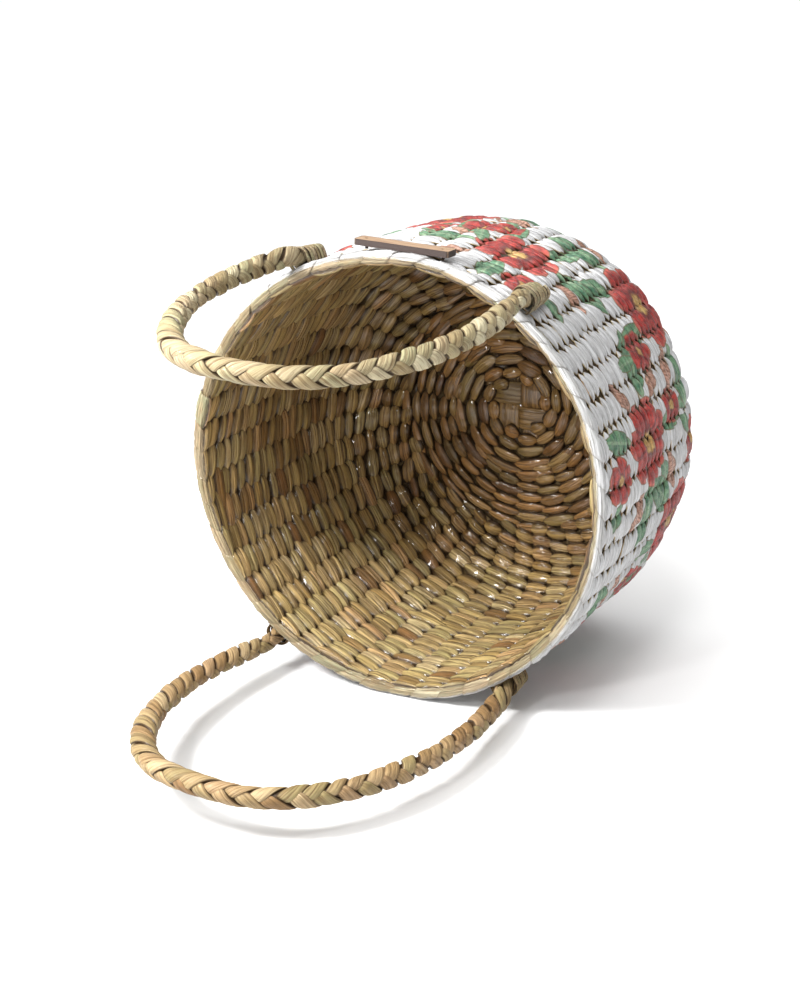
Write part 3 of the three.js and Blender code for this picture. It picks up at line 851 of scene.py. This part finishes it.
def makeRim():
    # each stake's end is folded over the edge: a bent strip along the rim that laps over the next one's start
    folds, section = rim["folds"], rim["section"]
    tangent = unit(np.gradient(section, axis=0))
    normal = np.stack([-tangent[:, 1], tangent[:, 0]], 1)
    normal *= np.sign(np.sum(normal * (section - rim["middle"]), axis=1, keepdims=True))
    loop = np.concatenate([section, (section - normal * rim["thick"])[::-1]])
    outward = np.concatenate([normal, normal[::-1]])
    over = np.concatenate([np.linspace(0, 1, len(section)), np.linspace(1, 0, len(section))])
    rng = np.random.default_rng(35)
    pick = lambda middle, spread: column(rng.normal(middle, spread, folds))
    u = np.linspace(-1, 1, rim["stations"])[:, None]
    step = 2 * np.pi / folds
    turn = column(np.arange(folds) + 0.5) * step + pick(0, 0.03) * step
    skew = pick(rim["slant"], 0.2) * step * (over - 0.5)
    theta = turn + u * step / 2 * rim["overlap"] * pick(1, 0.04) + skew
    lift = rim["lift"] * (u + 1) / 2 + pick(0, 0.00025) + rim["swell"] * (1 - u * u)
    lift = lift + 0.00022 * np.sin(theta * 190 + over * 9) + 0.00018 * np.sin(theta * 410 - over * 5)
    out, y = (loop[:, axis] + outward[:, axis] * lift for axis in (0, 1))
    points = onWall(theta, np.maximum(y, 0.0), out)
    points[..., 1] += np.minimum(y, 0.0)
    tone = column(rng.random(folds))
    strand = asVectors((theta - turn) * rim["radius"], over * 0.02 + tone * 2.7, tone)
    # crest falls at the fold's ends and at both edges of its section, where the rim's material paints shade
    border = np.clip(1 - np.abs(2 * over - 1) ** 10, np.where(over < 0.5, 0.2, 0.6), 1)
    wall = asVectors(theta * basket["bellyRadius"], over, (1 - np.abs(u) ** 12) * border)
    field = tubeField(points, strand, wall)
    makePiece("rim_folds", *field, makeRimMaterial(), "painted_grass", ["rim_border"])


makeRim()


# braided handles: angles in degrees, turn from the top, roll at the left, front and right

handles = {
    "upper": {
        "radius": 0.15935, "halfSpan": 31.0, "turn": 3.8, "rise": -4.5, "reach": 0.2, "flip": True,
        "roll": (-40, 18, 25), "seed": 51},
    "lower": {
        "radius": 0.1596, "halfSpan": 33.5, "turn": 182.2, "rise": -2.5, "reach": 0.22, "flip": False,
        "roll": (-8, 18, 34), "seed": 52},
}
braid = {
    "power": 2.8, "bulge": 0.1, "ahead": 0.002, "tail": 0.0348, "sink": 0.004, "sinkOver": 0.012,
    "dip": (0.0025, 0.026, 0.01), "turnIn": (0.034, 0.036), "step": 0.0011, "smooth": 13,
    "held": 8, "rollX": (-0.08, -0.03, 0.03, 0.08), "rollSmooth": 31, "blend": (0.004, -0.02),
    "period": 0.041, "oval": (0.0049, 0.0058), "crown": 0.0019, "halfWidth": 0.0048, "tuck": 0.11,
    "edge": 0.03, "dive": 0.0024, "core": 0.92, "stations": 23, "around": 14, "cap": 0.005,
}


def handlePath(spec):
    # a superellipse from root to root in the handle's plane, with a straight tail along the wall at each end
    half, turn, rise = (math.radians(spec[key]) for key in ("halfSpan", "turn", "rise"))
    ahead = braid["ahead"]
    acrossAxis, upAxis, yAxis = roundAxis(turn), outAxis(turn), np.array([0, 1.0, 0])
    away = -math.cos(rise) * yAxis + math.sin(rise) * upAxis
    hinge = np.array([0, mouthY - ahead, axisZ]) + upAxis * spec["radius"] * math.cos(half)
    angle = np.pi * (1 - np.linspace(0, 1, 900))
    bend = 2 / braid["power"]
    reach = np.abs(np.sin(angle)) ** bend
    x = signedPower(np.cos(angle), bend) * spec["radius"] * math.sin(half)
    x = x * (1 + braid["bulge"] * np.sin(np.pi * np.minimum(reach, 1)))
    loop = hinge + x[:, None] * acrossAxis + (spec["reach"] * reach)[:, None] * away
    tailY = np.linspace(braid["tail"] + ahead, 0, 60)[:-1, None]
    depth, start, over = braid["dip"]
    sink = -braid["sink"] * np.clip(tailY / braid["sinkOver"], 0, 1)
    sink = sink - depth * np.clip((tailY - start) / over, 0, 1)
    leftTail = loop[0] + tailY * yAxis + sink * outAxis(turn - half)
    rightTail = loop[-1] + tailY * yAxis + sink * outAxis(turn + half)
    path = np.concatenate([leftTail, loop, rightTail[::-1]])
    arc = arcLength(path)
    even = np.arange(0, arc[-1], braid["step"])
    path = sampled(even, arc, path)
    inner = slice(braid["held"], -braid["held"])
    path[inner] = smoothed(path, np.exp(-np.linspace(-2, 2, braid["smooth"]) ** 2))[inner]
    tangent = unit(np.gradient(path, axis=0))
    square = np.cross(acrossAxis, away)
    before, over = braid["turnIn"]
    tail = np.clip((path[:, 1] - (mouthY - before)) / over, 0, 1)[:, None]
    wallTurn = np.where((even < even[-1] / 2)[:, None], turn - half, turn + half)
    wallWay = np.concatenate([np.cos(wallTurn), 0 * wallTurn, -np.sin(wallTurn)], 1)
    wallWay = wallWay * np.sign(wallWay @ square)[:, None]
    wide = unit(square * (1 - tail) + wallWay * tail)
    wide = unit(wide - tangent * np.sum(wide * tangent, 1, keepdims=True))
    return even, path, wide, np.cross(tangent, wide), tail[:, 0]


def makeBraid(name, material):
    # ribbons wound about an oval core: each comes up from under at the middle of one flat side, goes round an
    # edge as a helix of half a period and dives under again at the middle of the other side; left and right
    # ones alternate
    spec, body = handles[name], name + "_handle"
    arc, path, wide, up, tail = handlePath(spec)
    rng = np.random.default_rng(spec["seed"])
    length, half, cap = arc[-1], braid["period"] / 2, braid["cap"]
    loose = (1 + 0.03 * np.sin(arc * 31 + spec["seed"]) + 0.03 * np.sin(arc * 83)) * (1 - 0.18 * tail)
    left, front, right = np.radians(spec["roll"]) * -np.sign(wide[len(arc) // 2, 2])
    roll = np.interp(path[:, 0], braid["rollX"], (left, front, front, right)) * (1 - tail)
    roll = smoothed(roll[:, None], np.ones(braid["rollSmooth"]))
    wide, up = wide * np.cos(roll) - up * np.sin(roll), up * np.cos(roll) + wide * np.sin(roll)

    def onBraid(along, theta, height):
        # a point by its distance along the braid, its angle about it and its height off the core
        along = length - along if spec["flip"] else along
        along = np.where(along > length - cap, length - cap * np.exp((length - cap - along) / cap), along)
        along = np.where(along < cap, cap * np.exp((along - cap) / cap), along)
        near = np.minimum(along, length - along) / cap
        girth = (0.3 + 0.7 * np.sin(np.clip(near, 0, 1) * np.pi / 2)) * np.interp(along, arc, loose)
        a, b = ((size + height) * girth for size in braid["oval"])
        middle, sideways, upwards = (sampled(along, arc, field) for field in (path, wide, up))
        return middle + sideways * (a * np.sin(theta))[..., None] + upwards * (b * np.cos(theta))[..., None]

    starts = np.arange(-half, length, braid["period"] / 6)
    count = len(starts)
    pick = lambda middle, spread: column(rng.normal(middle, spread, count))
    way = column(np.where(np.arange(count) % 2 == 0, 1, -1))
    t = np.linspace(-braid["tuck"], 1 + braid["tuck"], braid["stations"])[:, None]
    ring = fullTurn(braid["around"])
    radius = sum(braid["oval"]) / 2 + braid["crown"]
    run = math.hypot(half, math.pi * radius)
    v = signedPower(np.cos(ring), 0.7) * braid["halfWidth"] * np.clip(pick(1, 0.06), 0.85, 1.15)
    inward = np.minimum(t, 1 - t)
    sunk = np.clip((braid["edge"] - inward) / (braid["edge"] + braid["tuck"]), 0, 1)
    crown = np.where(np.sin(ring) > 0, np.abs(np.sin(ring)) ** 0.7, -0.8 * np.abs(np.sin(ring)))
    height = crown * braid["crown"] * pick(1, 0.1) + 0.0004 * np.exp(-((inward - 0.12) / 0.08) ** 2)
    height = height + pick(0, 0.0002) - braid["dive"] * sunk ** 1.5
    along = column(starts) + pick(0, 0.0007) + t * half - way * (math.pi * radius / run) * v
    theta = way * np.pi * t + (half / run) * v / radius + pick(0, 0.05) + 0.1 * np.sin(5 * t + pick(0, 3))
    tone = np.clip(pick(0.5, 0.28), 0, 1)
    strand = asVectors(t * run, v + tone * 2.3, tone)
    # painted shade: crest falls at each ribbon's edges and where it dives under its neighbours
    wall = asVectors(along, v, (1 - 0.95 * np.abs(np.cos(ring)) ** 5) * (1 - sunk))
    ribbons = tubeField(onBraid(along, theta, height), strand, wall)

    along, theta = np.broadcast_arrays(arc[None, :, None], ring)
    points = onBraid(along, theta, (braid["core"] - 1) * braid["oval"][0])
    # painted shade: the core's crest is nothing, so it takes the full crease colour and shows dark through
    # the gaps between the ribbons
    dark = np.zeros(points.shape)
    core = tubeField(points, dark, dark)
    replaced = [body, name + "_left_bound_end", name + "_right_bound_end"]
    piece = makePiece(name + "_braid", *joinFields([ribbons, core]), material, "braid_grass", replaced, None)
    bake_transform(piece)


makeBraid("upper", paleBraid)
makeBraid("lower", brownBraid)


# lashings that bind the braid ends to the wall

lashing = {
    "turns": 5.5, "pitch": 0.0048, "halfWide": 0.0084, "top": 0.0064, "under": 0.0095, "taper": 0.28,
    "strandWide": 0.0021, "strandThick": 0.0009, "steps": 34, "around": 8, "strandStep": 0.009,
    "starts": {"upper_left": 0.006, "upper_right": 0.007, "lower_left": 0.0065, "lower_right": 0.007},
}


def makeLashing(name, angle, radius, material, seed):
    # one strand wound about the braid's end: an oval helix whose lower passes sink into the weave
    spec = lashing
    count = int(spec["turns"] * spec["steps"]) + 1
    s = np.linspace(-np.pi / 2, spec["turns"] * 2 * np.pi - np.pi / 2, count)
    rng = np.random.default_rng(seed)
    drift = np.interp(s, np.linspace(s[0], s[-1], 14), rng.normal(0, 0.00025, 14))
    narrower = 1 - spec["taper"] * np.linspace(0, 1, count)
    across = narrower * spec["halfWide"] * signedPower(np.cos(s), 0.7) * (1 + drift * 90)
    bow = np.abs(np.sin(s))
    over = np.where(np.sin(s) > 0, narrower * spec["top"] * bow ** 0.9, -spec["under"] * bow ** 0.7)
    along = spec["starts"][name] + spec["pitch"] * (s + np.pi / 2) / (2 * np.pi) + drift
    radial, sideways = outAxis(angle), roundAxis(angle)
    middle = asVectors(0, mouthY + along, axisZ)
    middle = middle + sideways * across[:, None] + radial * (radius + over + np.abs(drift) * 0.8)[:, None]
    way = unit(np.gradient(middle, axis=0))
    outward = unit(sideways * (across / spec["halfWide"])[:, None] + radial * (over / spec["top"])[:, None])
    flat = unit(np.cross(way, outward))
    outward = np.cross(flat, way)
    ring = fullTurn(spec["around"])
    swell = (1 + 0.15 * np.sin(s * 1.7 + seed))[:, None]
    a, b = np.cos(ring) * spec["strandWide"] * swell, np.sin(ring) * spec["strandThick"]
    points = middle[:, None, :] + flat[:, None, :] * a[..., None] + outward[:, None, :] * b[..., None]
    tone = np.interp(s, np.linspace(s[0], s[-1], 16), rng.uniform(0.1, 1.0, 16))[:, None]
    strand = asVectors(s[:, None] * spec["strandStep"], a + seed, tone)
    # painted shade: crest falls at the strand's edges, where it darkens as in a crease
    wall = asVectors(s[:, None], a, 1 - 0.95 * np.abs(np.cos(ring)) ** 3)
    field = tubeField(points[None], strand, wall)
    makePiece(name + "_wrap", *field, material, "braid_grass", [name + "_lashing"])


for handleName, braidMaterial in (("upper", paleBraid), ("lower", brownBraid)):
    handle = handles[handleName]
    for sign in (-1, 1):
        place = math.radians(handle["turn"] + sign * handle["halfSpan"])
        sideName = "left" if math.sin(place) < 0 else "right"
        makeLashing(handleName + "_" + sideName, place, handle["radius"] - braid["sink"], braidMaterial,
                    handle["seed"] + 3 * sign + 7)


# name plate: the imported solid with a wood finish, and its two ties

plate = {"turn": math.radians(2.4), "half": (0.0335, 0.00625), "corner": 0.0015}
tie = {"stations": 14, "around": 16, "below": 0.0006, "short": 0.0004, "dome": (0.75, 0.26)}


def makePlateMaterial():
    # light grain along the plate, scorched on its cut sides and a little way in from them
    low, high = boxOf("name_plate")
    material, tree, shader = newMaterial("plate_wood")
    place = tree.nodes.new("ShaderNodeTexCoord").outputs["Object"]
    offset = vectorStep("SUBTRACT", place, tuple((low + high) / 2))
    _, sideways, rise = parts(offset)
    local = joined(vectorStep("DOT_PRODUCT", offset, roundAxis(plate["turn"])), sideways, rise)
    grain = stretchedNoise(local, (45, 900, 900), 4.0, 0.6)
    face = mixStep(softStep(grain, 0.3, 0.7), (0.24, 0.145, 0.085), (0.4, 0.275, 0.175))
    corner = plate["corner"]
    flat = (*(half - corner for half in plate["half"]), 1.0)
    past = vectorStep("MAXIMUM", vectorStep("SUBTRACT", vectorStep("ABSOLUTE", local), flat), (0, 0, 0))
    depth = minus(corner, vectorStep("LENGTH", past))
    scorch = softStep(varied(depth, grain, 0.0006), 0.0001, 0.0009, 1.0, 0.0)
    feed(shader.inputs, {
        "Base Color": mixStep(scorch, face, (0.03, 0.016, 0.012)),
        "Roughness": softStep(grain, 0.3, 0.7, 0.66, 0.52)})
    addBump(shader, grain, 0.0002)
    return material


def makeTies():
    # a dark cord up through each hole, round and domed at its upper end
    material, tree, shader = newMaterial("dark_cord")
    twist = stretchedNoise(readLayer(tree, "strand"), (900, 300, 1))
    cord = mixStep(twist, (0.018, 0.012, 0.01), (0.075, 0.05, 0.036))
    feed(shader.inputs, {"Base Color": cord, "Roughness": 0.85})
    addBump(shader, twist, 0.0002)
    t = np.linspace(0, 1, tie["stations"])[:, None]
    ring = fullTurn(tie["around"])
    start, over = tie["dome"]
    dome = np.sqrt(np.clip(1 - np.clip((t - start) / over, 0, 1) ** 2, 0, 1))
    for side in ("left", "right"):
        low, high = boxOf("plate_tie_" + side)
        middle, radius = (low + high) / 2, (high[1] - low[1]) / 2
        r = radius * dome * (1 + 0.06 * np.cos(3 * ring + 14 * t))
        z = low[2] - tie["below"] + (high[2] - low[2] - tie["short"]) * t
        x = middle[0] + (z - middle[2]) * math.tan(plate["turn"])
        points = asVectors(x + r * np.cos(ring), middle[1] + r * np.sin(ring), z)[None]
        strand = asVectors(z, ring * radius, 0)
        makePiece("tie_" + side, points, tubeFaces(points), {"strand": strand}, material, "tie_cord",
                  ["plate_tie_" + side])


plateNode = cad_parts["name_plate"]
plateNode.data.materials.clear()
plateNode.data.materials.append(makePlateMaterial())
makeTies()


# studio: pale floor and soft lights; the floor is whiter away from a place in front of the mouth, its darker
# middle there is painted shade, and its faint glow all over is painted light

studio = {
    "floor": 40.0, "whiter": ((-0.1, -0.22, 0), 0.16, 0.52), "world": 0.3,
    "sun": ((-0.11, -0.1, 0.98), 80, 2.4), "aim": (0, 0.1, 0.06),
    "boxes": (("left", (-0.42, -0.6, 0.72), 0.22, 16.5), ("right", (0.3, -0.5, 1.2), 0.26, 4.6),
              ("spark", (-0.05, -0.95, 0.62), 0.11, 3.2)),
}


def makeLamp(name, kind, where, target, **settings):
    data = bpy.data.lights.new(name, kind)
    for label, setting in settings.items():
        setattr(data, label, setting)
    lamp = addObject(name, data)
    lamp.location = where
    aim = np.subtract(target, where)
    lamp.rotation_euler = (math.acos(-aim[2] / np.linalg.norm(aim)), 0, math.atan2(-aim[0], aim[1]))


def makeFloor():
    material, tree, shader = newMaterial("pale_floor")
    place = tree.nodes.new("ShaderNodeTexCoord").outputs["Object"]
    front, *whiter = studio["whiter"]
    # painted shade: the floor is darker near a place in front of the mouth; painted light: it glows faintly
    # all over
    far = softStep(vectorStep("LENGTH", vectorStep("SUBTRACT", place, front)), *whiter)
    feed(shader.inputs, {
        "Base Color": mixStep(far, (0.69, 0.69, 0.69), (0.95, 0.95, 0.95)), "Roughness": 0.8,
        "Emission Color": (1, 1, 1), "Emission Strength": 0.05})
    half = studio["floor"]
    corners = [(-half, -half, 0), (half, -half, 0), (half, half, 0), (-half, half, 0)]
    mesh = bpy.data.meshes.new("studio_floor")
    mesh.from_pydata(corners, [], [(0, 1, 2, 3)])
    mesh.materials.append(material)
    addObject("studio_floor", mesh)


def makeLights():
    # an even white sky, a wide soft sun, and three small soft boxes that light the inside
    world = bpy.data.worlds.new("studio_air")
    world.use_nodes = True
    sky = world.node_tree.nodes["Background"]
    feed(sky.inputs, {"Color": (1, 1, 1), "Strength": studio["world"]})
    bpy.context.scene.world = world
    where, spread, power = studio["sun"]
    makeLamp("sun", "SUN", where, (0, 0, 0), angle=math.radians(spread), energy=power)
    for name, where, size, power in studio["boxes"]:
        makeLamp(name + "_box", "AREA", where, studio["aim"], size=size, energy=power)
    bpy.context.scene.view_settings.view_transform = "Standard"


makeFloor()
makeLights()
